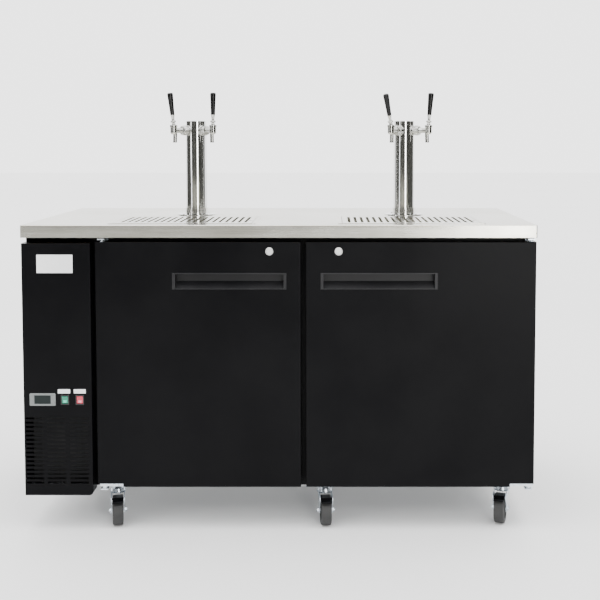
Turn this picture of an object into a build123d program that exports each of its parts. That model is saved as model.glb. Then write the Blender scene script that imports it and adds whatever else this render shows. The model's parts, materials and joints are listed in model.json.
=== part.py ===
from build123d import *
from math import asin, cos, radians, sin
import os

# Two-door back-bar kegerator: insulated cabinet on casters, refrigeration bay at the left,
# stainless countertop with two drip trays and two double-faucet towers.
# Frame: origin on the floor under the middle of the countertop, +X to the right as seen by
# the person at the doors, -Y towards that person, +Z up. Millimetres.

os.makedirs("parts", exist_ok=True)

# overall sizes
counter_width = 1549.0
counter_depth = 700.0
counter_top = 934.5
counter_edge = 38.0
counter_bottom = counter_top - counter_edge
counter_sheet = 1.5

# cabinet body
body_bottom = 122.0
body_top = counter_bottom - 0.3
body_side = 773.0
body_front = -297.0
body_back = 340.0
shell_sheet = 1.0
wall = 44.0
bay_wall_left = -559.0
frame_thickness = 5.0
frame_lap = 14.0
liner_sheet = 1.0

# clear inside of the refrigerated compartment
inside_x = (bay_wall_left + wall + liner_sheet, body_side - shell_sheet - wall)
inside_y = (body_front + frame_thickness, body_back - wall - liner_sheet)
inside_z = (167.0, 850.0)

# doors: (name, left edge, right edge, hinge side, handle span, lock axis)
door_front = -346.0
door_back = -306.0
door_bottom = 134.7
door_top = 883.0
door_sheet = 1.0
door_edge_round = 2.5
gasket_back = -298.0
gasket_inset = 12.0
gasket_width = 14.0
hinge_y = -332.0
door_gap_centre = 73.2
doors = {
    "left": {"x": (-551.7, 65.4), "hinge_x": -534.0, "grip_x": (-321.0, 22.7), "lock_x": -28.7, "out": -1},
    "right": {"x": (81.0, 772.9), "hinge_x": 759.0, "grip_x": (124.7, 477.5), "lock_x": 179.4, "out": 1},
}
opening_z = (168.0, 849.0)
mullion_width = 76.0
opening_x = {
    "left": (inside_x[0] + 11, door_gap_centre - mullion_width / 2),
    "right": (door_gap_centre + mullion_width / 2, inside_x[1] - 1),
}

# recessed pull handle
grip_z = (740.0, 790.0)
grip_depth = 27.0
grip_wall = 2.0
grip_side_bezel = 9.0
grip_bezel = 3.0
grip_proud = 1.6

# key lock at the top edge of each door
lock_z = 855.0
plug_radius = 8.6
plug_clearance = 0.4
cam_y = (-330.0, -327.0)
cam_length = 48.0
cam_width = 12.0
cam_clearance = 2.0

# door hinges
pin_radius = 4.0
pin_fit = 0.06
knuckle_radius = 8.5
bar_z = (138.0, 145.0)
bar_reach = 59.0
bracket_sheet = 4.0

# refrigeration bay front cover
cover_x = (-773.4, -566.8)
cover_z = (109.0, 879.0)
cover_front = -346.0
cover_sheet = 1.2
cover_corner = 12.0
louvre_rows = 16
louvre_pitch = 13.2
louvre_height = 6.5
louvre_low_z = 149.0
louvre_columns = ((-769.0, -715.0), (-704.0, -648.0), (-635.0, -579.0))

# controls on the cover
thermostat_x = (-754.7, -676.3)
thermostat_z = (386.0, 424.0)
rocker_x = {"green": -648.0, "red": -603.0}
rocker_z = 404.0
rocker_frame = (25.0, 30.0)
rocker_paddle = (18.0, 23.0)
control_proud = 1.8

# draught towers
tower_y = 51.0
towers = {
    "left": {"x": -302.0, "front": -90.0, "leans": (7.5, 1.0)},
    "right": {"x": 404.0, "front": -77.4, "leans": (20.0, 5.0)},
}
faucet_spread = 45.0
flange_radius = 65.0
flange_thickness = 3.0
column_radius = 35.0
column_wall = 1.5
column_top = 1249.0
cap_rise = 6.0
collar_radius = 37.5
collar_height = 24.0
line_hole_radius = 28.0

# faucets, measured outward from the column's axis
shank_z = 1220.0
shank_radius = 11.0
nut_radius = 15.0
nut_span = (38.0, 59.0)
faucet_reach = 92.5
faucet_head_radius = 11.0
head_bottom = -13.0
head_top = 18.0
socket_radius = 8.0
socket_depth = 12.0
spout_radius = 6.5
spout_start = (86.0, -4.0)
spout_end = (87.5, -40.0)
pivot_rise = 20.0

# tap handle, measured up from its pivot along its own axis
ball_radius = 6.5
neck_radius = 4.6
lever_collar = (6.0, 11.0, 8.5)
ferrule = (11.0, 32.0, 5.0, 7.4)
grip_top = 105.0
grip_radii = (7.25, 9.85)

# drip trays
tray_x = {"left": -298.0, "right": 403.0}
tray_y = counter_depth / -2 + 178.0
tray_rim = (450.0, 275.0)
tray_sheet = 1.2
basin = (426.0, 251.0)
basin_depth = 26.0
grate = (423.0, 248.0)
grate_sheet = 2.0
grate_skirt = 8.0
slot_count = 20
slot_pitch = 20.0
slot_width = 8.5
slot_length = 196.0
finger_hole_radius = 6.0
drain_radius = 8.0

# casters
caster_y = 264.0
casters = {
    "front_left": (-510.0, -caster_y, -78.0),
    "front_middle": (137.0, -caster_y, -85.0),
    "front_right": (693.0, -caster_y + 16, -107.0),
    "rear_left": (-510.0, caster_y, 98.0),
    "rear_middle": (137.0, caster_y, 70.0),
    "rear_right": (693.0, caster_y, 115.0),
}
wheel_radius = 45.0
wheel_width = 32.0
caster_trail = 32.0
axle_radius = 4.0
axle_fit = 0.05
fork_gap = 2.2
fork_sheet = 2.5
crown_z = (93.5, 96.5)
race_z = (96.5, 106.0)
race_radius = 23.0
caster_plate = (64.0, 64.0, 3.5)
brake_pivot = (58.0, 89.0)
brake_radius = 3.5
brake_reach = 22.0


def block(x_span, y_span, z_span, mode=Mode.ADD):
    # a box between two limits on each axis, in the part being built
    spans = (x_span, y_span, z_span)
    with Locations(tuple((low + high) / 2 for low, high in spans)):
        Box(*[high - low for low, high in spans], mode=mode)


def grown(span, margin):
    return (span[0] - margin, span[1] + margin)


def save(built, name):
    built.part.label = name
    export_step(built.part, f"parts/{name}.step")


def dome(x, base, radius, rise):
    # start, middle and end of a spherical dome's outline, from its rim up to its axis
    ball = (radius**2 + rise**2) / (2 * rise)
    half = asin(radius / ball) / 2
    middle = (x + ball * sin(half), base + rise - ball + ball * cos(half))
    return (x + radius, base), middle, (x, base + rise)


def upright(x, y, z, direction):
    # a plane through a point, its x outward along a compass direction and its y straight up
    outward = (cos(radians(direction)), sin(radians(direction)), 0)
    return Plane(origin=(x, y, z), x_dir=outward, z_dir=(outward[1], -outward[0], 0))


# ---- countertop ----

with BuildPart() as countertop:
    with BuildSketch(Plane.XY.offset(counter_bottom)):
        RectangleRounded(counter_width, counter_depth, 4)
    extrude(amount=counter_edge)
    fillet(countertop.faces().sort_by(Axis.Z)[-1].edges(), 2.5)
    with BuildSketch(Plane.XY.offset(counter_bottom)):
        RectangleRounded(counter_width - 2 * counter_sheet, counter_depth - 2 * counter_sheet, 2.5)
    extrude(amount=counter_edge - counter_sheet, mode=Mode.SUBTRACT)
    with BuildSketch(Plane.XY.offset(counter_top - counter_sheet)):
        with Locations([(x, tray_y) for x in tray_x.values()]):
            Rectangle(basin[0] + 2 * tray_sheet + 1, basin[1] + 2 * tray_sheet + 1)
        with Locations([(tower["x"], tower_y) for tower in towers.values()]):
            Circle(line_hole_radius)
    extrude(amount=counter_sheet, mode=Mode.SUBTRACT)
save(countertop, "countertop")

# stiffening board that fills the underside of the countertop
board_margin = counter_sheet + 0.3
with BuildPart() as top_board:
    with BuildSketch(Plane.XY.offset(counter_bottom)):
        RectangleRounded(counter_width - 2 * board_margin, counter_depth - 2 * board_margin, 3)
    extrude(amount=counter_edge - board_margin)
    for x in tray_x.values():
        block(
            (x - basin[0] / 2 - 4, x + basin[0] / 2 + 4),
            (tray_y - basin[1] / 2 - 4, tray_y + basin[1] / 2 + 4),
            (counter_bottom, counter_top),
            mode=Mode.SUBTRACT,
        )
    with BuildSketch(Plane.XY.offset(counter_bottom)):
        with Locations([(tower["x"], tower_y) for tower in towers.values()]):
            Circle(line_hole_radius)
    extrude(amount=counter_edge, mode=Mode.SUBTRACT)
    # each lock's cam swings up into a slot here
    for door in doors.values():
        block(
            (door["lock_x"] - cam_width / 2 - cam_clearance, door["lock_x"] + cam_length),
            grown(cam_y, cam_clearance),
            (counter_bottom, lock_z + cam_length + cam_clearance + 2),
            mode=Mode.SUBTRACT,
        )
save(top_board, "top_board")

# ---- drip trays and their lift-out grates ----

rim_top = counter_top + tray_sheet
basin_floor = rim_top - basin_depth
with BuildPart() as drip_pans:
    for x in tray_x.values():
        with BuildSketch(Plane.XY.offset(counter_top)):
            with Locations((x, tray_y)):
                RectangleRounded(*tray_rim, 8)
        extrude(amount=tray_sheet)
        with BuildSketch(Plane.XY.offset(basin_floor - tray_sheet)):
            with Locations((x, tray_y)):
                RectangleRounded(basin[0] + 2 * tray_sheet, basin[1] + 2 * tray_sheet, 7)
        extrude(amount=rim_top - basin_floor)
        with BuildSketch(Plane.XY.offset(basin_floor)):
            with Locations((x, tray_y)):
                RectangleRounded(*basin, 6)
        extrude(amount=basin_depth, mode=Mode.SUBTRACT)
        # tabs along the two long sides carry the grate
        for side in (-1, 1):
            for step in (-1, 0, 1):
                tab_y = tray_y + side * (basin[1] / 2 - 4)
                tab_x = x + step * basin[0] / 3
                block(
                    (tab_x - 15, tab_x + 15),
                    (tab_y - 4, tab_y + 4),
                    (rim_top - grate_sheet - 1.2, rim_top - grate_sheet),
                )
        # drain outlet
        with Locations((x, tray_y + basin[1] / 2 - 40, basin_floor - 6)):
            Cylinder(drain_radius + 2, 10, align=(Align.CENTER, Align.CENTER, Align.CENTER))
            Cylinder(drain_radius, 14, mode=Mode.SUBTRACT)
save(drip_pans, "drip_pans")

for side, x in tray_x.items():
    with BuildPart() as drip_grate:
        with BuildSketch(Plane.XY.offset(rim_top - grate_sheet)):
            with Locations((x, tray_y)):
                RectangleRounded(*grate, 5)
        extrude(amount=grate_sheet)
        # folded skirt on the two short sides
        for end in (-1, 1):
            skirt_x = x + end * (grate[0] / 2 - 1)
            block(
                (skirt_x - 0.8, skirt_x + 0.8),
                (tray_y - grate[1] / 2 + 8, tray_y + grate[1] / 2 - 8),
                (rim_top - grate_sheet - grate_skirt, rim_top - grate_sheet),
            )
        with BuildSketch(Plane.XY.offset(rim_top - grate_sheet)):
            with Locations((x, tray_y)):
                with GridLocations(slot_pitch, 1, slot_count, 1):
                    SlotOverall(slot_length, slot_width, rotation=90)
            with Locations((x + grate[0] / 2 - 10, tray_y - 30)):
                Circle(finger_hole_radius)
        extrude(amount=grate_sheet, mode=Mode.SUBTRACT)
    save(drip_grate, f"drip_grate_{side}")

# ---- cabinet ----

with BuildPart() as outer_shell:
    block((bay_wall_left, body_side), (body_front + frame_thickness, body_back), (body_bottom + 2, body_top))
    block(
        (bay_wall_left - 1, body_side - shell_sheet),
        (body_front, body_back - shell_sheet),
        (body_bottom, body_top + 1),
        mode=Mode.SUBTRACT,
    )
save(outer_shell, "outer_shell")

with BuildPart() as base_pan:
    block((-body_side, body_side), (body_front, body_back), (body_bottom, body_bottom + 2))
save(base_pan, "base_pan")

# bent sheet round the refrigeration bay: left side and vented back
bay_x = (-body_side, bay_wall_left)
with BuildPart() as bay_casing:
    block(bay_x, (body_front, body_back), (body_bottom + 2, body_top))
    block(
        (-body_side + 1.5, bay_wall_left + 1),
        (body_front - 1, body_back - 1.5),
        (body_bottom, body_top + 1),
        mode=Mode.SUBTRACT,
    )
    with BuildSketch(Plane.XZ.offset(-body_back)):
        for column_x in (-718, -614):
            with Locations((column_x, 300)):
                with GridLocations(1, 20, 1, 14):
                    SlotOverall(78, 7)
    extrude(amount=3, mode=Mode.SUBTRACT)
save(bay_casing, "bay_casing")

# five foam slabs round the compartment, cut for the beer lines at the top
slab_gap = 0.3
with BuildPart() as cabinet_foam:
    foam_x = (bay_wall_left, body_side - shell_sheet)
    foam_y = (inside_y[0], body_back - shell_sheet)
    floor_z = (body_bottom + 2, inside_z[0] - liner_sheet)
    ceiling_z = (inside_z[1] + liner_sheet, body_top)
    wall_z = (floor_z[1], ceiling_z[0])
    back_y = (inside_y[1] + liner_sheet, foam_y[1])
    side_y = (foam_y[0], back_y[0] - slab_gap)
    slab_z = grown(wall_z, -slab_gap)
    block(foam_x, foam_y, floor_z)
    block(foam_x, foam_y, ceiling_z)
    block(foam_x, back_y, slab_z)
    block((inside_x[1] + liner_sheet, foam_x[1]), side_y, slab_z)
    block((foam_x[0], inside_x[0] - liner_sheet), side_y, slab_z)
    with BuildSketch(Plane.XY.offset(ceiling_z[0])):
        with Locations([(tower["x"], tower_y) for tower in towers.values()]):
            Circle(line_hole_radius)
    extrude(amount=wall + 2, mode=Mode.SUBTRACT)
save(cabinet_foam, "cabinet_foam")

with BuildPart() as inner_liner:
    block(
        grown(inside_x, liner_sheet),
        (inside_y[0], inside_y[1] + liner_sheet),
        grown(inside_z, liner_sheet),
    )
    block(inside_x, (inside_y[0] - 1, inside_y[1]), inside_z, mode=Mode.SUBTRACT)
    with BuildSketch(Plane.XY.offset(inside_z[1])):
        with Locations([(tower["x"], tower_y) for tower in towers.values()]):
            Circle(line_hole_radius)
    extrude(amount=2 * liner_sheet, mode=Mode.SUBTRACT)
save(inner_liner, "inner_liner")

with BuildPart() as front_frame:
    frame_x = (cover_x[1] - frame_lap, body_side)
    block(frame_x, (body_front, inside_y[0]), (body_bottom + 2, body_top))
    for span in opening_x.values():
        block(span, (body_front - 1, inside_y[0] + 1), opening_z, mode=Mode.SUBTRACT)
    # centre post, a channel open at the back
    post_x = (opening_x["left"][1], opening_x["right"][0])
    block(post_x, (inside_y[0], inside_y[0] + 30), grown(inside_z, -0.3))
    block(grown(post_x, -2), (inside_y[0], inside_y[0] + 31), inside_z, mode=Mode.SUBTRACT)
save(front_frame, "front_frame")

# fixed hinge brackets: a tab on the cabinet's front, a shelf under or over the door, and a pin
with BuildPart() as hinge_brackets:
    for door in doors.values():
        axis_x = door["hinge_x"]
        shelf_x = (axis_x - 11, axis_x + 11)
        low_shelf = (body_bottom + 3, body_bottom + 3 + bracket_sheet)
        high_shelf = (door_top + 6, door_top + 6 + bracket_sheet)
        block(shelf_x, (hinge_y - 11, body_front), low_shelf)
        block(shelf_x, (body_front - 2, body_front), (low_shelf[0], low_shelf[1] + 8))
        block(shelf_x, (hinge_y - 11, body_front), high_shelf)
        block(shelf_x, (body_front - 2, body_front), (high_shelf[0] - 14, high_shelf[1]))
        with BuildSketch(Plane.XY.offset(low_shelf[1])):
            with Locations((axis_x, hinge_y)):
                Circle(pin_radius)
        extrude(amount=bar_z[1] - low_shelf[1] - 1)
        with BuildSketch(Plane.XY.offset(high_shelf[0])):
            with Locations((axis_x, hinge_y)):
                Circle(pin_radius)
        extrude(amount=-18)
save(hinge_brackets, "hinge_brackets")

# ---- doors ----


def add_notches(door, margin, mode):
    # room for the hinge bar at the bottom corner, the top bushing, the handle cup and the lock
    out = door["out"]
    axis_x = door["hinge_x"]
    corner = sorted((axis_x + out * 60, axis_x - out * (bar_reach + margin)))
    block(corner, (door_front - 1, door_back + 1), (door_bottom - 1, bar_z[1] + margin), mode=mode)
    with BuildSketch(Plane.XY.offset(door_top - 16 - margin)) as bushing:
        with Locations((axis_x, hinge_y)):
            Circle(knuckle_radius + margin)
    extrude(bushing.sketch, amount=17 + margin, mode=mode)
    cup = grown(door["grip_x"], margin - grip_side_bezel + grip_wall)
    cup_y = (door_front - 1, door_front + grip_depth + grip_wall + margin)
    block(cup, cup_y, grown(grip_z, margin - grip_bezel + grip_wall), mode=mode)
    with BuildSketch(Plane.XZ.offset(-door_front + 1)) as barrel:
        with Locations((door["lock_x"], lock_z)):
            Circle(plug_radius + plug_clearance)
    extrude(barrel.sketch, amount=-(cam_y[0] - door_front + 2), mode=mode)


for side, door in doors.items():
    door_x = door["x"]
    out = door["out"]
    axis_x = door["hinge_x"]

    with BuildPart() as door_skin:
        block(door_x, (door_front, door_back), (door_bottom, door_top))
        front_face = door_skin.faces().sort_by(Axis.Y)[0]
        fillet(front_face.edges(), door_edge_round)
        offset(amount=-door_sheet, openings=door_skin.faces().sort_by(Axis.Y)[-1])
        add_notches(door, 0.3, Mode.SUBTRACT)
        # slot in the top edge that the cam swings through
        block(
            (door["lock_x"] - cam_width / 2 - cam_clearance, door["lock_x"] + cam_length),
            grown(cam_y, cam_clearance),
            (door_top - 3, door_top + 1),
            mode=Mode.SUBTRACT,
        )
    save(door_skin, f"door_{side}_skin")

    with BuildPart() as door_core:
        core_margin = door_sheet + 0.2
        block(
            grown(door_x, -core_margin),
            (door_front + core_margin, door_back),
            (door_bottom + core_margin, door_top - core_margin),
        )
        fillet(door_core.faces().sort_by(Axis.Y)[0].edges(), door_edge_round)
        add_notches(door, 0.3, Mode.SUBTRACT)
        # the cam's own space inside the door
        block(
            (door["lock_x"] - cam_width, door["lock_x"] + cam_length + cam_clearance),
            grown(cam_y, cam_clearance),
            (lock_z - cam_width, door_top + 1),
            mode=Mode.SUBTRACT,
        )
    save(door_core, f"door_{side}_core")

    # inner panel with a raised dyke that reaches into the opening
    with BuildPart() as door_liner:
        block(grown(door_x, -4), (door_back, door_back + 1.5), (bar_z[1] + 3, door_top - 4))
        dyke_x = grown(opening_x[side], -14)
        with BuildSketch(Plane.XZ.offset(-door_back - 1.5)):
            with Locations((sum(dyke_x) / 2, sum(opening_z) / 2)):
                RectangleRounded(dyke_x[1] - dyke_x[0], opening_z[1] - opening_z[0] - 28, 18)
                RectangleRounded(
                    dyke_x[1] - dyke_x[0] - 50,
                    opening_z[1] - opening_z[0] - 78,
                    12,
                    mode=Mode.SUBTRACT,
                )
        extrude(amount=-20, taper=6)
    save(door_liner, f"door_{side}_liner")

    with BuildPart() as door_gasket:
        gasket_x = grown(door_x, -gasket_inset)
        gasket_z = (bar_z[1] + 3, door_top - gasket_inset)
        with BuildSketch(Plane.XZ.offset(-door_back - 1.5)):
            with Locations((sum(gasket_x) / 2, sum(gasket_z) / 2)):
                RectangleRounded(gasket_x[1] - gasket_x[0], gasket_z[1] - gasket_z[0], 4)
                Rectangle(
                    gasket_x[1] - gasket_x[0] - 2 * gasket_width,
                    gasket_z[1] - gasket_z[0] - 2 * gasket_width,
                    mode=Mode.SUBTRACT,
                )
        extrude(amount=-(gasket_back - door_back - 1.5))
        fillet(door_gasket.faces().sort_by(Axis.Y)[-1].edges(), 2)
    save(door_gasket, f"door_{side}_gasket")

    # handle cup: face flange, end walls and a pocket that rises behind the top edge
    with BuildPart() as door_handle:
        cup_x = grown(door["grip_x"], grip_wall - grip_side_bezel)
        cup_z = grown(grip_z, grip_wall - grip_bezel)
        mouth_x = grown(cup_x, -grip_wall)
        mouth_z = grown(cup_z, -grip_wall)
        block(door["grip_x"], (door_front - grip_proud, door_front), grip_z)
        fillet(door_handle.faces().sort_by(Axis.Y)[0].edges(), 1.2)
        block(cup_x, (door_front, door_front + grip_depth + grip_wall), cup_z)
        with BuildSketch(Plane.YZ.offset(mouth_x[0])):
            with BuildLine():
                Polyline(
                    (door_front - 3, mouth_z[0]),
                    (door_front + 3, mouth_z[0]),
                    (door_front + grip_depth, mouth_z[0] + 19),
                    (door_front + grip_depth, mouth_z[1]),
                    (door_front - 3, mouth_z[1]),
                    close=True,
                )
            make_face()
        extrude(amount=mouth_x[1] - mouth_x[0], mode=Mode.SUBTRACT)
    save(door_handle, f"door_{side}_handle")

    # moving hinge leaves: bar with a knuckle at the bottom, bushing in the top edge
    with BuildPart() as door_hinges:
        bar_x = sorted((axis_x + out * 11, axis_x - out * bar_reach))
        block(bar_x, (door_front, door_back - 2), bar_z)
        with BuildSketch(Plane.XY.offset(body_bottom + 3 + bracket_sheet + 0.4)):
            with Locations((axis_x, hinge_y)):
                Circle(knuckle_radius)
        extrude(amount=bar_z[0] - body_bottom - 3 - bracket_sheet)
        with BuildSketch(Plane.XY.offset(door_top - 16)):
            with Locations((axis_x, hinge_y)):
                Circle(knuckle_radius)
        extrude(amount=17)
        with BuildSketch(Plane.XY.offset(body_bottom)):
            with Locations((axis_x, hinge_y)):
                Circle(pin_radius + pin_fit)
        extrude(amount=door_top, mode=Mode.SUBTRACT)
    save(door_hinges, f"door_{side}_hinges")

    # lock plug with its keyway, and the cam lying flat (unlocked)
    with BuildPart() as door_lock:
        with BuildSketch(Plane.XZ.offset(-door_front + 2.2)):
            with Locations((door["lock_x"], lock_z)):
                Circle(plug_radius)
        extrude(amount=-(cam_y[0] - door_front + 2.2))
        chamfer(door_lock.faces().sort_by(Axis.Y)[0].edges(), 0.8)
        block(
            (door["lock_x"] - 1, door["lock_x"] + 1),
            (door_front - 3, door_front + 3),
            (lock_z - 4.5, lock_z + 4.5),
            mode=Mode.SUBTRACT,
        )
        with BuildSketch(Plane.XZ.offset(-cam_y[0])):
            with Locations((door["lock_x"] + (cam_length - cam_width / 2) / 2, lock_z)):
                SlotOverall(cam_length + cam_width / 2, cam_width)
        extrude(amount=-(cam_y[1] - cam_y[0]))
    save(door_lock, f"door_{side}_lock")

# ---- refrigeration bay ----

with BuildPart() as front_cover:
    block(cover_x, (cover_front, body_front - 0.3), cover_z)
    door_side_corner = front_cover.edges().filter_by(Axis.Y).group_by(Axis.Z)[0].sort_by(Axis.X)[-1]
    fillet(door_side_corner, cover_corner)
    fillet(front_cover.faces().sort_by(Axis.Y)[0].edges(), 2)
    offset(amount=-cover_sheet, openings=front_cover.faces().sort_by(Axis.Y)[-1])
    with BuildSketch(Plane.XZ.offset(-cover_front + 1)):
        for column in louvre_columns:
            grid_z = louvre_low_z + louvre_pitch * (louvre_rows - 1) / 2
            with Locations((sum(column) / 2, grid_z)):
                with GridLocations(1, louvre_pitch, 1, louvre_rows):
                    SlotOverall(column[1] - column[0], louvre_height)
        with Locations((sum(thermostat_x) / 2, sum(thermostat_z) / 2)):
            Rectangle(71.4, 29.4)
        with Locations([(x, rocker_z) for x in rocker_x.values()]):
            Rectangle(rocker_frame[0] - 2.6, rocker_frame[1] - 2.6)
    extrude(amount=-4, mode=Mode.SUBTRACT)
save(front_cover, "front_cover")

with BuildPart() as thermostat:
    block(thermostat_x, (cover_front - control_proud, cover_front), thermostat_z)
    fillet(thermostat.edges().filter_by(Axis.Y), 3)
    chamfer(thermostat.faces().sort_by(Axis.Y)[0].edges(), 0.6)
    centre_x = sum(thermostat_x) / 2
    centre_z = sum(thermostat_z) / 2
    block((centre_x - 35.5, centre_x + 35.5), (cover_front, -300), (centre_z - 14.5, centre_z + 14.5))
save(thermostat, "thermostat")

with BuildPart() as switch_frames:
    for x in rocker_x.values():
        span_x = (x - rocker_frame[0] / 2, x + rocker_frame[0] / 2)
        span_z = (rocker_z - rocker_frame[1] / 2, rocker_z + rocker_frame[1] / 2)
        block(span_x, (cover_front - 1.2, cover_front), span_z)
        block(grown(span_x, -1.5), (cover_front, cover_front + 26), grown(span_z, -1.5))
        block(
            (x - rocker_paddle[0] / 2 - 0.5, x + rocker_paddle[0] / 2 + 0.5),
            (cover_front - 2, cover_front + 14),
            (rocker_z - rocker_paddle[1] / 2 - 1, rocker_z + rocker_paddle[1] / 2 + 1),
            mode=Mode.SUBTRACT,
        )
save(switch_frames, "switch_frames")

# rocker paddle: side view is a shallow V, one half pressed in
rocker_axis_y = cover_front + 4.0
for colour, x in rocker_x.items():
    with BuildPart() as rocker:
        half = rocker_paddle[1] / 2
        with BuildSketch(Plane.YZ.offset(x - rocker_paddle[0] / 2)):
            with BuildLine():
                Polyline(
                    (rocker_axis_y - 6.6, rocker_z + half - 0.6),
                    (rocker_axis_y - 4.2, rocker_z),
                    (rocker_axis_y - 4.2, rocker_z - half + 0.6),
                    (rocker_axis_y + 0.5, rocker_z - half + 1.2),
                    (rocker_axis_y + 5.0, rocker_z),
                    (rocker_axis_y + 0.5, rocker_z + half - 1.2),
                    close=True,
                )
            make_face()
        extrude(amount=rocker_paddle[0])
        # pivot stubs at both sides
        with BuildSketch(Plane.YZ.offset(x - rocker_paddle[0] / 2 - 0.3)):
            with Locations((rocker_axis_y, rocker_z)):
                Circle(1.5)
        extrude(amount=rocker_paddle[0] + 0.6)
    save(rocker, f"rocker_{colour}")

bay_floor = body_bottom + 2
with BuildPart() as compressor:
    with BuildSketch(Plane.XZ.offset(-110)):
        with BuildLine():
            Polyline((-666, bay_floor + 12), (-666 + 62, bay_floor + 12), (-666 + 74, bay_floor + 32))
            Line((-666 + 74, bay_floor + 32), (-666 + 74, bay_floor + 120))
            ThreePointArc(*dome(-666, bay_floor + 120, 74, 58))
            Line((-666, bay_floor + 178), (-666, bay_floor + 12))
        make_face()
    revolve(axis=Axis((-666, 110, 0), (0, 0, 1)))
    block((-756, -576), (60, 160), (bay_floor + 8, bay_floor + 12.5))
    with BuildSketch(Plane.XY.offset(bay_floor)):
        with Locations((-666, 110)):
            with GridLocations(150, 76, 2, 2):
                Circle(9)
    extrude(amount=8)
save(compressor, "compressor")

# condenser: finned block, fan shroud and the fan's motor on its strut
condenser_x = (-764.0, -572.0)
condenser_z = (bay_floor + 6, bay_floor + 216)
fan_z = sum(condenser_z) / 2
fan_x = sum(condenser_x) / 2
fan_radius = 78.0
blade_pitch = 24.0
with BuildPart() as condenser:
    block(condenser_x, (-285, -245), condenser_z)
    block(grown(condenser_x, -6), (-245, -215), grown(condenser_z, -6))
    with BuildSketch(Plane.XZ.offset(245)):
        with Locations((fan_x, fan_z)):
            Circle(fan_radius + 5)
    extrude(amount=-31, mode=Mode.SUBTRACT)
    block((fan_x - 12, fan_x + 12), (-214.5, -205), grown(condenser_z, -6))
    block((fan_x - 12, fan_x + 12), (-215, -214.5), (condenser_z[0] + 6, condenser_z[0] + 10))
    block((fan_x - 12, fan_x + 12), (-215, -214.5), (condenser_z[1] - 10, condenser_z[1] - 6))
    with BuildSketch(Plane.XZ.offset(214.5)):
        with Locations((fan_x, fan_z)):
            Circle(26)
    extrude(amount=-50)
    block((fan_x - 10, fan_x + 10), (-280, -250), (bay_floor, condenser_z[0]))
save(condenser, "condenser")


def fan_wheel(centre, facing, radius, depth):
    # hub with five blades, turned about the plane's normal
    with BuildSketch(facing) as hub:
        Circle(radius * 0.24)
    extrude(hub.sketch, amount=depth)
    for number in range(5):
        outward = facing.x_dir.rotate(Axis((0, 0, 0), facing.z_dir), 72 * number)
        sideways = facing.z_dir.cross(outward)
        pitch = radians(blade_pitch)
        tilted = Plane(
            origin=centre + facing.z_dir * (depth / 2),
            x_dir=outward,
            z_dir=facing.z_dir * cos(pitch) + sideways * sin(pitch),
        )
        with BuildSketch(tilted.offset(-1)) as paddle:
            with Locations((radius * 0.58, 0)):
                RectangleRounded(radius * 0.8, radius * 0.5, radius * 0.16)
        extrude(paddle.sketch, amount=2)


with BuildPart() as condenser_fan:
    fan_origin = Vector(fan_x, -238, fan_z)
    fan_wheel(fan_origin, Plane(origin=fan_origin, x_dir=(1, 0, 0), z_dir=(0, 1, 0)), fan_radius, 18)
save(condenser_fan, "condenser_fan")

# evaporator housing on the compartment's left wall, fan facing into the compartment
housing_x = (inside_x[0], inside_x[0] + 86)
housing_y = (-70.0, 250.0)
housing_z = (540.0, 830.0)
with BuildPart() as evaporator_cover:
    block(housing_x, housing_y, housing_z)
    fillet(evaporator_cover.faces().sort_by(Axis.X)[-1].edges(), 12)
    offset(amount=-1.5, openings=evaporator_cover.faces().sort_by(Axis.X)[0])
    with BuildSketch(Plane.YZ.offset(housing_x[1] - 2)):
        with Locations((sum(housing_y) / 2, 720)):
            for ring in range(4):
                Circle(18 + 18 * ring + 11)
                Circle(18 + 18 * ring, mode=Mode.SUBTRACT)
            Rectangle(6, 180, mode=Mode.SUBTRACT)
            Rectangle(180, 6, mode=Mode.SUBTRACT)
        with Locations((sum(housing_y) / 2, 580)):
            with GridLocations(1, 14, 1, 4):
                SlotOverall(240, 6)
    extrude(amount=4, mode=Mode.SUBTRACT)
save(evaporator_cover, "evaporator_cover")

with BuildPart() as evaporator_fan:
    blower = Vector(housing_x[0] + 50, sum(housing_y) / 2, 720)
    fan_wheel(blower, Plane(origin=blower, x_dir=(0, 1, 0), z_dir=(1, 0, 0)), 74, 16)
save(evaporator_fan, "evaporator_fan")

# ---- draught towers ----

with BuildPart() as tower_bases:
    for tower in towers.values():
        with BuildSketch(Plane.XY.offset(counter_top)):
            with Locations((tower["x"], tower_y)):
                Circle(flange_radius)
                Circle(line_hole_radius, mode=Mode.SUBTRACT)
        extrude(amount=flange_thickness)
        with BuildSketch(Plane.XY.offset(counter_top + flange_thickness)):
            with Locations((tower["x"], tower_y)):
                Circle(collar_radius)
                Circle(column_radius + 0.1, mode=Mode.SUBTRACT)
        extrude(amount=collar_height - flange_thickness)
        # set screw hole in the collar
        with BuildSketch(upright(tower["x"], tower_y, counter_top + 15, tower["front"] + 90)):
            Circle(2.5)
        extrude(amount=collar_radius + 1, mode=Mode.SUBTRACT)
save(tower_bases, "tower_bases")

with BuildPart() as tower_columns:
    for tower in towers.values():
        with BuildSketch(Plane.XY.offset(counter_top + flange_thickness)):
            with Locations((tower["x"], tower_y)):
                Circle(column_radius)
                Circle(column_radius - column_wall, mode=Mode.SUBTRACT)
        extrude(amount=column_top - counter_top - flange_thickness)
        for turn in (-faucet_spread, faucet_spread):
            with BuildSketch(upright(tower["x"], tower_y, shank_z, tower["front"] + turn + 90)):
                Circle(shank_radius + 0.2)
            extrude(amount=column_radius + 2, mode=Mode.SUBTRACT)
save(tower_columns, "tower_columns")

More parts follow.
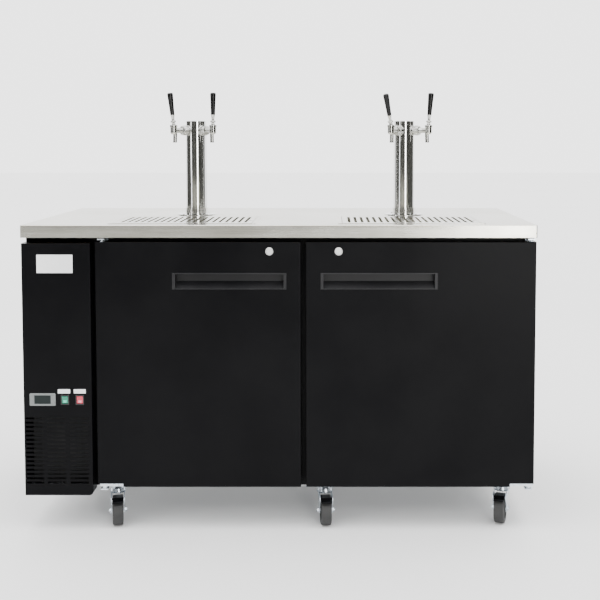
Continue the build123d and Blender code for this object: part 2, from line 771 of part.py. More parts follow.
with BuildPart() as tower_caps:
    for tower in towers.values():
        with BuildSketch(Plane.XZ.offset(-tower_y)):
            with BuildLine():
                plug_rim = tower["x"] + column_radius - column_wall - 0.2
                rim = tower["x"] + column_radius
                Polyline(
                    (tower["x"], column_top - 12),
                    (plug_rim, column_top - 12),
                    (plug_rim, column_top),
                    (rim, column_top),
                    (rim, column_top + 2.5),
                )
                ThreePointArc(*dome(tower["x"], column_top + 2.5, column_radius, cap_rise - 2.5))
                Line((tower["x"], column_top + cap_rise), (tower["x"], column_top - 12))
            make_face()
        revolve(axis=Axis((tower["x"], tower_y, 0), (0, 0, 1)))
save(tower_caps, "tower_caps")

# ---- faucets and tap handles ----


def spun(plane, outline):
    # revolve an outline of (radius, height) points about the plane's own y axis
    with BuildSketch(plane) as profile:
        with BuildLine():
            Polyline(*outline, close=True)
        make_face()
    revolve(profile.sketch, axis=Axis(plane.origin, plane.y_dir))


tap_axes = {}
for side, tower in towers.items():
    for number, turn in ((1, -faucet_spread), (2, faucet_spread)):
        lean = tower["leans"][number - 1]
        tap_axes[f"{side}_{number}"] = (tower["x"], tower_y, tower["front"] + turn, lean)

with BuildPart() as faucets:
    for x, y, direction, _ in tap_axes.values():
        face = upright(x, y, shank_z, direction)
        # threaded shank, coupling nut and neck, turned about the horizontal line outward
        outline = [
            (24, 0),
            (24, shank_radius),
            (nut_span[0], shank_radius),
            (nut_span[0], nut_radius - 1),
            (nut_span[0] + 1, nut_radius),
            (nut_span[1] - 1, nut_radius),
            (nut_span[1], nut_radius - 1),
            (nut_span[1], 10),
            (72, 8.5),
            (faucet_reach, 9.5),
            (faucet_reach, 0),
        ]
        with BuildSketch(face):
            with BuildLine():
                Polyline(*outline, close=True)
            make_face()
        revolve(axis=Axis(face.origin, face.x_dir))
        # upright head with the lever's socket in its top
        head = Plane(origin=face.from_local_coords((faucet_reach, 0, 0)), x_dir=face.x_dir, z_dir=face.z_dir)
        outline = [
            (0, head_bottom),
            (faucet_head_radius - 4, head_bottom),
            (faucet_head_radius, head_bottom + 5),
            (faucet_head_radius, head_top - 8),
            (faucet_head_radius + 1.5, head_top - 7),
            (faucet_head_radius + 1.5, head_top - 1),
            (faucet_head_radius + 0.5, head_top),
            (socket_radius, head_top),
            (socket_radius, head_top - socket_depth),
            (0, head_top - socket_depth),
        ]
        spun(head, outline)
        # spout, down from the neck, open at its end
        tip = face.from_local_coords((*spout_end, 0))
        run = tip - face.from_local_coords((*spout_start, 0))
        spout = Plane(origin=tip, x_dir=face.z_dir, z_dir=run.normalized())
        with BuildSketch(spout):
            Circle(spout_radius)
        extrude(amount=-run.length)
        with BuildSketch(spout):
            Circle(spout_radius - 1.3)
        extrude(amount=-16, mode=Mode.SUBTRACT)
save(faucets, "faucets")

for name, (x, y, direction, lean) in tap_axes.items():
    with BuildPart() as tap_handle:
        face = upright(x, y, shank_z, direction)
        pivot = face.from_local_coords((faucet_reach, pivot_rise, 0))
        lever = Plane(
            origin=pivot,
            x_dir=face.x_dir * cos(radians(lean)) - face.y_dir * sin(radians(lean)),
            z_dir=face.z_dir,
        )
        spun(
            lever,
            [
                (0, 0),
                (neck_radius, 0),
                (neck_radius, lever_collar[0]),
                (lever_collar[2] - 0.8, lever_collar[0]),
                (lever_collar[2], lever_collar[0] + 0.8),
                (lever_collar[2], lever_collar[1] - 0.8),
                (lever_collar[2] - 0.8, lever_collar[1]),
                (ferrule[2], ferrule[0]),
                (ferrule[3], ferrule[1]),
                (0, ferrule[1]),
            ],
        )
        with Locations(pivot):
            Sphere(ball_radius)
        # pivot pin through the ball
        with BuildSketch(lever.offset(-ball_radius - 0.4)):
            Circle(2)
        extrude(amount=2 * ball_radius + 0.8)
        spun(
            lever,
            [
                (0, ferrule[1]),
                (grip_radii[0], ferrule[1]),
                (grip_radii[1], grip_top - 4),
                (grip_radii[1] - 1, grip_top - 1.2),
                (grip_radii[1] - 3.5, grip_top),
                (0, grip_top),
            ],
        )
    save(tap_handle, f"tap_handle_{name}")

# ---- casters ----

with BuildPart() as caster_plates:
    for x, y, direction in casters.values():
        plate_bottom = body_bottom - caster_plate[2]
        with Locations((x, y, body_bottom - caster_plate[2] / 2)):
            Box(*caster_plate)
        with BuildSketch(Plane.XY.offset(race_z[1] + 0.4)):
            with Locations((x, y)):
                Circle(race_radius)
        extrude(amount=plate_bottom - race_z[1] - 0.4, taper=-18)
save(caster_plates, "caster_plates")


def caster_point(x, y, direction, reach, height):
    return (x + reach * cos(radians(direction)), y + reach * sin(radians(direction)), height)


for name, (x, y, direction) in casters.items():
    side_plane = upright(x, y, 0, direction)
    leg_offset = wheel_width / 2 + fork_gap
    with BuildPart() as caster_fork:
        # crown disc and lower half of the race
        with BuildSketch(Plane.XY.offset(crown_z[0])):
            with Locations((x, y)):
                Circle(race_radius + 2)
        extrude(amount=crown_z[1] - crown_z[0])
        with BuildSketch(Plane.XY.offset(race_z[0])):
            with Locations((x, y)):
                Circle(race_radius)
        extrude(amount=race_z[1] - race_z[0], taper=20)
        # a roof over the wheel joins the two legs to the crown
        with BuildSketch(side_plane.offset(-leg_offset - fork_sheet)):
            with BuildLine():
                Polyline((-18, crown_z[0]), (16, crown_z[0]), (16, crown_z[1]), (-18, crown_z[1]), close=True)
            make_face()
        extrude(amount=2 * (leg_offset + fork_sheet))
        for offset_out in (-leg_offset - fork_sheet, leg_offset):
            with BuildSketch(side_plane.offset(offset_out)):
                with BuildLine():
                    Polyline(
                        (-18, crown_z[1]),
                        (-18, crown_z[0] - 8),
                        (caster_trail - 9, wheel_radius - 8),
                        (caster_trail + 9, wheel_radius - 8),
                        (caster_trail + 11, wheel_radius + 8),
                        (brake_pivot[0] + 5, brake_pivot[1] - 5),
                        (brake_pivot[0] + 5, brake_pivot[1] + 5),
                        (16, crown_z[1]),
                        close=True,
                    )
                make_face()
            extrude(amount=fork_sheet)
        # axle with a nut at each side
        with BuildSketch(side_plane.offset(-leg_offset - fork_sheet - 7)):
            with Locations((caster_trail, wheel_radius)):
                Circle(axle_radius)
        extrude(amount=2 * (leg_offset + fork_sheet + 7))
        for nut_offset in (-leg_offset - fork_sheet - 5, leg_offset + fork_sheet):
            with BuildSketch(side_plane.offset(nut_offset)):
                with Locations((caster_trail, wheel_radius)):
                    RegularPolygon(7.5, 6)
            extrude(amount=5)
    save(caster_fork, f"caster_{name}_fork")

    with BuildPart() as caster_wheel:
        wheel_plane = upright(*caster_point(x, y, direction, caster_trail, wheel_radius), direction)
        with BuildSketch(wheel_plane.offset(-wheel_width / 2)):
            Circle(wheel_radius)
        extrude(amount=wheel_width)
        fillet(caster_wheel.edges().filter_by(GeomType.CIRCLE), 4)
        for face_offset, inward in ((-wheel_width / 2, 1), (wheel_width / 2, -1)):
            with BuildSketch(wheel_plane.offset(face_offset)):
                Circle(wheel_radius - 13)
                Circle(12, mode=Mode.SUBTRACT)
            extrude(amount=6 * inward, mode=Mode.SUBTRACT)
        with BuildSketch(wheel_plane.offset(-wheel_width / 2)):
            Circle(axle_radius + axle_fit)
        extrude(amount=wheel_width, mode=Mode.SUBTRACT)
    save(caster_wheel, f"caster_{name}_wheel")

    if name.startswith("front"):
        with BuildPart() as caster_brake:
            inner = leg_offset - 0.8
            with BuildSketch(side_plane.offset(-inner)):
                with Locations(brake_pivot):
                    Circle(brake_radius)
            extrude(amount=2 * inner)
            with BuildSketch(side_plane.offset(-inner + 2)):
                with BuildLine():
                    Polyline(
                        (brake_pivot[0], brake_pivot[1] + brake_radius),
                        (brake_pivot[0], brake_pivot[1] + brake_radius - 3),
                        (brake_pivot[0] + brake_reach - 8, brake_pivot[1] - 7),
                        (brake_pivot[0] + brake_reach, brake_pivot[1] - 7),
                        (brake_pivot[0] + brake_reach, brake_pivot[1] - 4),
                        (brake_pivot[0] + brake_reach - 7, brake_pivot[1] - 4),
                        close=True,
                    )
                make_face()
            extrude(amount=2 * inner - 4)
        save(caster_brake, f"caster_{name}_brake")
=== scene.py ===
import json
from math import cos, pi, radians, sin
import bpy
from mathutils import Matrix, Vector


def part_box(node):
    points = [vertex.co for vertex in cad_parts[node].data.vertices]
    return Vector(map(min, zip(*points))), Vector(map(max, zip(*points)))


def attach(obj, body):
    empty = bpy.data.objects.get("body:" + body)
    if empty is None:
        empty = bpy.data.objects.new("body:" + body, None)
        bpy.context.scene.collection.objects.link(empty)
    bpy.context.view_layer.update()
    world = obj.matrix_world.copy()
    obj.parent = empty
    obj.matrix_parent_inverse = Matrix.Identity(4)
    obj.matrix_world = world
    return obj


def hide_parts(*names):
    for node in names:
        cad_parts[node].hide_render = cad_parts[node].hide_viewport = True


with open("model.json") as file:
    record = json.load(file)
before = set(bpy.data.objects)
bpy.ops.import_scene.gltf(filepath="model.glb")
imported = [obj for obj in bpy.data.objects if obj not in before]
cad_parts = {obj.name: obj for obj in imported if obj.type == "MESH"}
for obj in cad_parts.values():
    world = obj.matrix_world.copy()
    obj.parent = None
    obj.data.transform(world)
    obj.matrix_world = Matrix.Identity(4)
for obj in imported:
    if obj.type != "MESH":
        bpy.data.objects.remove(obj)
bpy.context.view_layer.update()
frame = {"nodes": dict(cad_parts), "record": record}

print("loaded", len(frame["nodes"]), "nodes")


def groupShell(name, inputs, outputs):
    group = bpy.data.node_groups.new(name, "ShaderNodeTree")
    for label, kind, value in inputs:
        socket = group.interface.new_socket(name=label, in_out="INPUT", socket_type=kind)
        if value is not None:
            socket.default_value = value
    for label, kind in outputs:
        group.interface.new_socket(name=label, in_out="OUTPUT", socket_type=kind)
    start = group.nodes.new("NodeGroupInput")
    end = group.nodes.new("NodeGroupOutput")
    return group, start, end


def addMath(tree, operation, first, second, clamp=False):
    node = tree.nodes.new("ShaderNodeMath")
    node.operation = operation
    node.use_clamp = clamp
    for index, value in enumerate((first, second)):
        if hasattr(value, "is_output"):
            tree.links.new(value, node.inputs[index])
        else:
            node.inputs[index].default_value = value
    return node.outputs[0]


def addRange(tree, value, low, high, newLow, newHigh):
    node = tree.nodes.new("ShaderNodeMapRange")
    tree.links.new(value, node.inputs["Value"])
    for label, number in (("From Min", low), ("From Max", high), ("To Min", newLow), ("To Max", newHigh)):
        if hasattr(number, "is_output"):
            tree.links.new(number, node.inputs[label])
        else:
            node.inputs[label].default_value = number
    return node.outputs["Result"]


def addNoise(tree, vector, scale, detail=3.0, rough=0.5):
    node = tree.nodes.new("ShaderNodeTexNoise")
    tree.links.new(vector, node.inputs["Vector"])
    if hasattr(scale, "is_output"):
        tree.links.new(scale, node.inputs["Scale"])
    else:
        node.inputs["Scale"].default_value = scale
    node.inputs["Detail"].default_value = detail
    node.inputs["Roughness"].default_value = rough
    return node.outputs["Fac"]


# long fine streaks: the vector arrives already squeezed along the brushing direction
def makeGrainGroup():
    group, start, end = groupShell(
        "brushedGrain",
        [("Vector", "NodeSocketVector", None), ("Density", "NodeSocketFloat", 1.0)],
        [("Streak", "NodeSocketFloat"), ("Height", "NodeSocketFloat")],
    )
    coarse = addMath(group, "MULTIPLY", start.outputs["Density"], 60.0)
    fine = addMath(group, "MULTIPLY", start.outputs["Density"], 260.0)
    wide = addNoise(group, start.outputs["Vector"], coarse, 2.0)
    thin = addNoise(group, start.outputs["Vector"], fine, 4.0, 0.7)
    mix = addMath(group, "ADD", addMath(group, "MULTIPLY", wide, 0.4), addMath(group, "MULTIPLY", thin, 0.6))
    group.links.new(addRange(group, mix, 0.35, 0.65, 0.0, 1.0), end.inputs["Streak"])
    group.links.new(thin, end.inputs["Height"])
    return group


# soft cloudy wear: finger smudges and uneven sheen
def makeSmudgeGroup():
    group, start, end = groupShell(
        "smudges",
        [("Vector", "NodeSocketVector", None), ("Scale", "NodeSocketFloat", 6.0)],
        [("Cloud", "NodeSocketFloat"), ("Speck", "NodeSocketFloat")],
    )
    cloud = addNoise(group, start.outputs["Vector"], start.outputs["Scale"], 5.0, 0.6)
    speckScale = addMath(group, "MULTIPLY", start.outputs["Scale"], 40.0)
    speck = addNoise(group, start.outputs["Vector"], speckScale, 2.0)
    group.links.new(addRange(group, cloud, 0.38, 0.62, 0.0, 1.0), end.inputs["Cloud"])
    group.links.new(addRange(group, speck, 0.62, 0.74, 0.0, 1.0), end.inputs["Speck"])
    return group


# orange peel of a powder coat, or the fine texture of moulded plastic
def makePeelGroup():
    group, start, end = groupShell(
        "coatPeel",
        [("Vector", "NodeSocketVector", None), ("Scale", "NodeSocketFloat", 500.0)],
        [("Height", "NodeSocketFloat")],
    )
    first = addNoise(group, start.outputs["Vector"], start.outputs["Scale"], 2.0)
    node = group.nodes.new("ShaderNodeTexVoronoi")
    node.feature = "SMOOTH_F1"
    group.links.new(start.outputs["Vector"], node.inputs["Vector"])
    group.links.new(addMath(group, "MULTIPLY", start.outputs["Scale"], 0.7), node.inputs["Scale"])
    dimple = addMath(group, "MULTIPLY", node.outputs["Distance"], 0.4)
    blend = addMath(group, "ADD", addMath(group, "MULTIPLY", first, 0.6), dimple)
    group.links.new(blend, end.inputs["Height"])
    return group


grainGroup = makeGrainGroup()
smudgeGroup = makeSmudgeGroup()
peelGroup = makePeelGroup()
print("node groups ready")


def startMaterial(name, settings):
    material = bpy.data.materials.new(name)
    material.use_nodes = True
    tree = material.node_tree
    shader = tree.nodes["Principled BSDF"]
    for label, value in settings.items():
        shader.inputs[label].default_value = value
    place = tree.nodes.new("ShaderNodeTexCoord")
    mapping = tree.nodes.new("ShaderNodeMapping")
    tree.links.new(place.outputs["Object"], mapping.inputs["Vector"])
    return material, tree, shader, mapping


def placeGroup(tree, group, vector, **values):
    node = tree.nodes.new("ShaderNodeGroup")
    node.node_tree = group
    tree.links.new(vector, node.inputs["Vector"])
    for label, value in values.items():
        node.inputs[label].default_value = value
    return node


def mixColour(tree, factor, first, second):
    node = tree.nodes.new("ShaderNodeMix")
    node.data_type = "RGBA"
    tree.links.new(factor, node.inputs["Factor"])
    for index, colour in ((6, first), (7, second)):
        if hasattr(colour, "is_output"):
            tree.links.new(colour, node.inputs[index])
        else:
            node.inputs[index].default_value = (*colour, 1.0)
    return node.outputs[2]


def addBump(tree, shader, height, strength, distance):
    bump = tree.nodes.new("ShaderNodeBump")
    bump.inputs["Strength"].default_value = strength
    bump.inputs["Distance"].default_value = distance
    tree.links.new(height, bump.inputs["Height"])
    tree.links.new(bump.outputs["Normal"], shader.inputs["Normal"])


# brushed or polished metal: colour and roughness follow the streaks
def brushedMetal(name, dark, light, rough, squeeze, density=1.0, bump=0.15, smudge=0.06):
    material, tree, shader, mapping = startMaterial(name, {"Metallic": 1.0})
    mapping.inputs["Scale"].default_value = squeeze
    grain = placeGroup(tree, grainGroup, mapping.outputs["Vector"], Density=density)
    place = tree.nodes["Texture Coordinate"].outputs["Object"]
    cloud = placeGroup(tree, smudgeGroup, place, Scale=5.0)
    tree.links.new(mixColour(tree, grain.outputs["Streak"], dark, light), shader.inputs["Base Color"])
    streaked = addRange(tree, grain.outputs["Streak"], 0.0, 1.0, rough[0], rough[1])
    clouded = addMath(tree, "MULTIPLY", cloud.outputs["Cloud"], smudge)
    tree.links.new(addMath(tree, "ADD", streaked, clouded), shader.inputs["Roughness"])
    addBump(tree, shader, grain.outputs["Height"], bump, 0.0004)
    return material


# painted or moulded surface: peel texture, cloudy sheen, faint dust specks
def coatedSurface(name, dark, light, rough, peel=500.0, bump=0.12, cloudScale=4.0, settings=None):
    material, tree, shader, mapping = startMaterial(name, settings or {})
    texture = placeGroup(tree, peelGroup, mapping.outputs["Vector"], Scale=peel)
    cloud = placeGroup(tree, smudgeGroup, mapping.outputs["Vector"], Scale=cloudScale)
    tree.links.new(mixColour(tree, cloud.outputs["Cloud"], dark, light), shader.inputs["Base Color"])
    sheen = addRange(tree, cloud.outputs["Cloud"], 0.0, 1.0, rough[0], rough[1])
    dusty = addMath(tree, "MULTIPLY", cloud.outputs["Speck"], 0.05)
    tree.links.new(addMath(tree, "ADD", sheen, dusty), shader.inputs["Roughness"])
    addBump(tree, shader, texture.outputs["Height"], bump, 0.0003)
    return material

# every finish takes its colours, roughness and grain from here
metalLooks = {
    "stainless_sheet": dict(
        dark=(0.48, 0.47, 0.42),
        light=(0.62, 0.61, 0.56),
        rough=(0.17, 0.25),
        squeeze=(0.02, 1, 1),
        bump=0.05,
    ),
    "polished_steel": dict(
        dark=(0.60, 0.60, 0.59),
        light=(0.74, 0.74, 0.73),
        rough=(0.05, 0.09),
        squeeze=(1, 1, 0.03),
        bump=0.03,
        smudge=0.03,
    ),
    "faucet_chrome": dict(
        dark=(0.38, 0.38, 0.36),
        light=(0.54, 0.54, 0.52),
        rough=(0.06, 0.10),
        squeeze=(1, 1, 0.03),
        bump=0.03,
        smudge=0.03,
    ),
    "lock_chrome": dict(
        dark=(0.74, 0.74, 0.73),
        light=(0.86, 0.86, 0.85),
        rough=(0.28, 0.38),
        squeeze=(1, 1, 1),
        density=0.5,
        bump=0.04,
    ),
    "zinc_plate": dict(
        dark=(0.50, 0.56, 0.62),
        light=(0.72, 0.76, 0.80),
        rough=(0.2, 0.34),
        squeeze=(0.5, 0.5, 1),
        density=0.4,
    ),
    "galvanised": dict(
        dark=(0.38, 0.39, 0.40),
        light=(0.56, 0.57, 0.58),
        rough=(0.35, 0.5),
        squeeze=(0.6, 0.6, 0.6),
        density=0.3,
    ),
    "liner": dict(
        dark=(0.6, 0.6, 0.6),
        light=(0.7, 0.7, 0.7),
        rough=(0.34, 0.46),
        squeeze=(1, 1, 0.05),
        density=0.6,
    ),
    # near-black fins: partly the fins' own black coat, partly painted shade so the louvre slots read black
    # like the unlit bay behind them
    "condenser_metal": dict(
        dark=(0.02, 0.02, 0.02),
        light=(0.06, 0.06, 0.06),
        rough=(0.5, 0.7),
        squeeze=(1, 0.02, 0.02),
        density=2,
        bump=0.6,
    ),
}
coatLooks = {
    "black_steel": dict(
        dark=(0.002, 0.002, 0.0025),
        light=(0.0035, 0.0035, 0.004),
        rough=(0.30, 0.36),
        settings={"Specular IOR Level": 0.06},
    ),
    "compressor_black": dict(dark=(0.008, 0.008, 0.008), light=(0.02, 0.02, 0.02), rough=(0.3, 0.5)),
    "handle_plastic": dict(
        dark=(0.008, 0.008, 0.009),
        light=(0.014, 0.014, 0.015),
        rough=(0.34, 0.44),
        peel=900.0,
        settings={"Specular IOR Level": 0.2},
    ),
    "tap_grip": dict(
        dark=(0.003, 0.003, 0.003),
        light=(0.006, 0.006, 0.006),
        rough=(0.10, 0.16),
        peel=250.0,
        bump=0.03,
        settings={"Specular IOR Level": 0.22},
    ),
    "wheel": dict(
        dark=(0.008, 0.008, 0.008),
        light=(0.02, 0.02, 0.02),
        rough=(0.45, 0.6),
        peel=700.0,
        bump=0.3,
    ),
    "controller": dict(
        dark=(0.14, 0.15, 0.15),
        light=(0.18, 0.19, 0.19),
        rough=(0.35, 0.45),
        peel=1200.0,
    ),
    "switch_black": dict(
        dark=(0.006, 0.006, 0.006),
        light=(0.010, 0.010, 0.010),
        rough=(0.25, 0.35),
        peel=1200.0,
    ),
    "rocker_green": dict(
        dark=(0.004, 0.17, 0.10),
        light=(0.008, 0.22, 0.14),
        rough=(0.16, 0.25),
        peel=1200.0,
        bump=0.05,
    ),
    "rocker_red": dict(
        dark=(0.50, 0.03, 0.06),
        light=(0.60, 0.06, 0.10),
        rough=(0.16, 0.25),
        peel=1200.0,
        bump=0.05,
    ),
    "fan_plastic": dict(dark=(0.008, 0.008, 0.008), light=(0.015, 0.015, 0.015), rough=(0.4, 0.55)),
    "gasket": dict(dark=(0.03, 0.03, 0.031), light=(0.045, 0.045, 0.046), rough=(0.5, 0.6)),
    "door_liner": dict(dark=(0.42, 0.42, 0.42), light=(0.47, 0.47, 0.47), rough=(0.35, 0.5)),
    "foam": dict(
        dark=(0.55, 0.42, 0.20),
        light=(0.66, 0.52, 0.27),
        rough=(0.8, 0.9),
        peel=300.0,
        bump=0.6,
    ),
    "board": dict(
        dark=(0.34, 0.22, 0.12),
        light=(0.46, 0.32, 0.18),
        rough=(0.6, 0.75),
        peel=200.0,
        bump=0.3,
    ),
    "badge_white": dict(
        dark=(0.78, 0.79, 0.80),
        light=(0.88, 0.88, 0.88),
        rough=(0.22, 0.3),
        peel=900.0,
        bump=0.04,
    ),
    "screen_dark": dict(
        dark=(0.006, 0.010, 0.010),
        light=(0.012, 0.018, 0.017),
        rough=(0.08, 0.14),
        peel=900.0,
        bump=0.02,
        settings={"Specular IOR Level": 0.15},
    ),
    "lens_green": dict(
        dark=(0.05, 0.55, 0.38),
        light=(0.12, 0.72, 0.52),
        rough=(0.12, 0.2),
        peel=900.0,
        bump=0.05,
    ),
    "lens_red": dict(
        dark=(0.80, 0.22, 0.30),
        light=(0.90, 0.38, 0.44),
        rough=(0.12, 0.2),
        peel=900.0,
        bump=0.05,
    ),
    "socket_black": dict(
        dark=(0.004, 0.004, 0.004),
        light=(0.008, 0.008, 0.008),
        rough=(0.5, 0.6),
        peel=900.0,
    ),
}
finishes = {name: brushedMetal(name, **look) for name, look in metalLooks.items()}
finishes.update({name: coatedSurface(name, **look) for name, look in coatLooks.items()})
for entry in frame["record"]["subparts"]:
    node = frame["nodes"][entry["node"]]
    node.data.materials.clear()
    node.data.materials.append(finishes[entry["material_slot"]])
for nodeName, look in (
    ("door_left_lock", "lock_chrome"),
    ("door_right_lock", "lock_chrome"),
    ("faucets", "faucet_chrome"),
):
    frame["nodes"][nodeName].data.materials.clear()
    frame["nodes"][nodeName].data.materials.append(finishes[look])
print("materials ready")


def clearSelection():
    if bpy.context.object and bpy.context.object.mode != "OBJECT":
        bpy.ops.object.mode_set(mode="OBJECT")
    bpy.ops.object.select_all(action="DESELECT")


def startBlock(name, low, high):
    clearSelection()
    middle = [(a + b) / 2 for a, b in zip(low, high)]
    bpy.ops.mesh.primitive_cube_add(size=1, location=middle, scale=[b - a for a, b in zip(low, high)])
    piece = bpy.context.object
    piece.name = name
    bpy.ops.object.transform_apply(location=True, rotation=True, scale=True)
    return piece


# leaves edit mode on, with just the faces that pass the test selected
def pickFaces(piece, test):
    bpy.ops.object.mode_set(mode="EDIT")
    bpy.ops.mesh.select_mode(type="FACE")
    bpy.ops.mesh.select_all(action="DESELECT")
    bpy.ops.object.mode_set(mode="OBJECT")
    for face in piece.data.polygons:
        face.select = test(face)
    bpy.ops.object.mode_set(mode="EDIT")


def closeUp(piece, angle=35):
    bpy.ops.object.mode_set(mode="EDIT")
    bpy.ops.mesh.select_all(action="SELECT")
    bpy.ops.mesh.remove_doubles(threshold=0.000005)
    bpy.ops.mesh.normals_make_consistent(inside=False)
    bpy.ops.object.mode_set(mode="OBJECT")
    bpy.ops.object.shade_smooth_by_angle(angle=radians(angle))


def softenEdges(piece, width, segments=2):
    bevel = piece.modifiers.new("softEdge", "BEVEL")
    bevel.width = width
    bevel.segments = segments
    bevel.limit_method = "ANGLE"
    bpy.ops.object.modifier_apply(modifier=bevel.name)
    bpy.ops.object.shade_smooth_by_angle(angle=radians(35))


# solid of revolution on the Z axis, grown ring by ring from (height, radius) pairs
def turnPiece(name, rings, sides=32):
    clearSelection()
    height, radius = rings[0]
    place = (0, 0, height)
    bpy.ops.mesh.primitive_circle_add(vertices=sides, radius=radius, fill_type="NGON", location=place)
    piece = bpy.context.object
    piece.name = name
    bpy.ops.object.transform_apply(location=True, rotation=True, scale=True)
    bpy.ops.object.mode_set(mode="EDIT")
    bpy.ops.mesh.select_all(action="SELECT")
    for nextHeight, nextRadius in rings[1:]:
        bpy.ops.mesh.extrude_region_move(TRANSFORM_OT_translate={"value": (0, 0, nextHeight - height)})
        ratio = nextRadius / radius
        bpy.ops.transform.resize(value=(ratio, ratio, 1), center_override=(0, 0, nextHeight))
        height, radius = nextHeight, nextRadius
    bpy.ops.object.mode_set(mode="OBJECT")
    closeUp(piece)
    return piece


# closed ring on the Z axis: the outline of (height, radius) pairs comes back to its start
def turnRing(name, outline, sides=32):
    clearSelection()
    height, radius = outline[0]
    place = (0, 0, height)
    bpy.ops.mesh.primitive_circle_add(vertices=sides, radius=radius, fill_type="NOTHING", location=place)
    piece = bpy.context.object
    piece.name = name
    bpy.ops.object.transform_apply(location=True, rotation=True, scale=True)
    bpy.ops.object.mode_set(mode="EDIT")
    bpy.ops.mesh.select_mode(type="EDGE")
    bpy.ops.mesh.select_all(action="SELECT")
    for nextHeight, nextRadius in outline[1:] + outline[:1]:
        bpy.ops.mesh.extrude_region_move(TRANSFORM_OT_translate={"value": (0, 0, nextHeight - height)})
        ratio = nextRadius / radius
        bpy.ops.transform.resize(value=(ratio, ratio, 1), center_override=(0, 0, nextHeight))
        height, radius = nextHeight, nextRadius
    bpy.ops.object.mode_set(mode="OBJECT")
    closeUp(piece)
    return piece


# turns the Z axis of a piece made at the origin to a direction, and applies its place
def setDown(piece, place, direction, spin=0):
    turn = Vector(direction).to_track_quat("Z", "Y").to_matrix().to_4x4()
    piece.matrix_world = Matrix.Translation(place) @ turn @ Matrix.Rotation(radians(spin), 4, "Z")
    clearSelection()
    piece.select_set(True)
    bpy.context.view_layer.objects.active = piece
    bpy.ops.object.transform_apply(location=True, rotation=True, scale=True)
    return piece


def copyPiece(piece, name):
    twin = piece.copy()
    twin.data = piece.data.copy()
    twin.name = name
    bpy.context.scene.collection.objects.link(twin)
    return twin


def finishPiece(piece, body, slotName, look=None, hides=()):
    piece.data.materials.clear()
    piece.data.materials.append(finishes[look or slotName])
    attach(piece, body)
    if hides:
        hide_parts(*hides)


# copies of one small piece, each set down at its own place
def scatter(pattern, places, direction, body, slotName, look=None):
    for number, place in enumerate(places):
        twin = copyPiece(pattern, f"{pattern.name}_{body}_{number + 1}")
        setDown(twin, place, direction)
        finishPiece(twin, body, slotName, look)


def crossScrew(name, radius, height):
    rings = [(0, radius), (height * 0.5, radius), (height * 0.85, radius * 0.8), (height, radius * 0.45)]
    screw = turnPiece(name, rings, 20)
    for width, depth in ((0.62, 0.16), (0.16, 0.62)):
        slot = startBlock(
            name + "Slot",
            (-radius * width, -radius * depth, height * 0.45),
            (radius * width, radius * depth, height * 1.2),
        )
        clearSelection()
        bpy.context.view_layer.objects.active = screw
        screw.select_set(True)
        cut = screw.modifiers.new("recess", "BOOLEAN")
        cut.operation = "DIFFERENCE"
        cut.object = slot
        bpy.ops.object.modifier_apply(modifier=cut.name)
        bpy.data.objects.remove(slot, do_unlink=True)
    closeUp(screw)
    return screw


jointsByName = {joint["name"]: joint for joint in frame["record"]["behaviour"]["joints"]}
tapNames = [name[:-5] for name in jointsByName if name.startswith("tap_")]
tapSetup = {
    "fullPull": 36.0,  # degrees from upright to fully open
    "reach": 0.0925,
    "pivotRise": 0.020,
    "ball": 0.0065,
    "collar": (0.006, 0.013, 0.0085),
    "ferrule": (0.0155, 0.032, 0.0046, 0.0074),
    "gripTop": 0.105,
    "gripRadii": (0.0072, 0.0098),
    "nut": (0.0375, 0.0595, 0.0153, 8),
    "washer": (0.030, 0.0368, 0.0168),
    "spoutTip": (0.0875, -0.040, 0.0067),
}


# pivot place and level outward direction of a tap, from its joint
def tapLine(tap):
    joint = jointsByName[tap + "_pull"]
    outward = Vector((joint["axis"][1], -joint["axis"][0], 0)).normalized()
    return Vector(joint["pos_m"]), outward, tapSetup["fullPull"] - joint["range_deg"][1]


def makeTapLever(tap):
    ball = tapSetup["ball"]
    low, high, wide = tapSetup["collar"]
    foot, top, narrow, flare = tapSetup["ferrule"]
    rings = [(-ball * cos(step * pi / 14), ball * sin(step * pi / 14)) for step in range(1, 11)]
    rings += [(low, narrow), (low + 0.0002, wide - 0.001), (low + 0.001, wide), (high - 0.001, wide)]
    rings += [(high - 0.0002, wide - 0.001), (high, narrow + 0.0004), (foot, narrow)]
    widen = flare - narrow
    rings += [(foot + (top - foot) * step / 5, narrow + widen * (step / 5) ** 1.6) for step in range(1, 6)]
    rings += [(top + 0.0004, flare - 0.0006)]
    lever = turnPiece("tapLever_" + tap, rings, 36)
    # knurl on the collar
    pickFaces(lever, lambda face: abs(face.center.z - (low + high) / 2) < 0.001 and abs(face.normal.z) < 0.3)
    bpy.ops.mesh.inset(thickness=0.00025, depth=0.0004, use_individual=True)
    bpy.ops.object.mode_set(mode="OBJECT")
    return lever


def makeTapGrip(tap):
    foot = tapSetup["ferrule"][1] + 0.0003
    top = tapSetup["gripTop"]
    slim, full = tapSetup["gripRadii"]
    rings = [(foot, slim - 0.0008), (foot + 0.0008, slim)]
    swell = top - 0.006 - foot
    rings += [(foot + swell * step / 8, slim + (full - slim) * (step / 8) ** 1.25) for step in range(1, 9)]
    rings += [(top - 0.003, full - 0.0004), (top - 0.001, full - 0.0018), (top, full - 0.0045)]
    return turnPiece("tapGrip_" + tap, rings, 40)


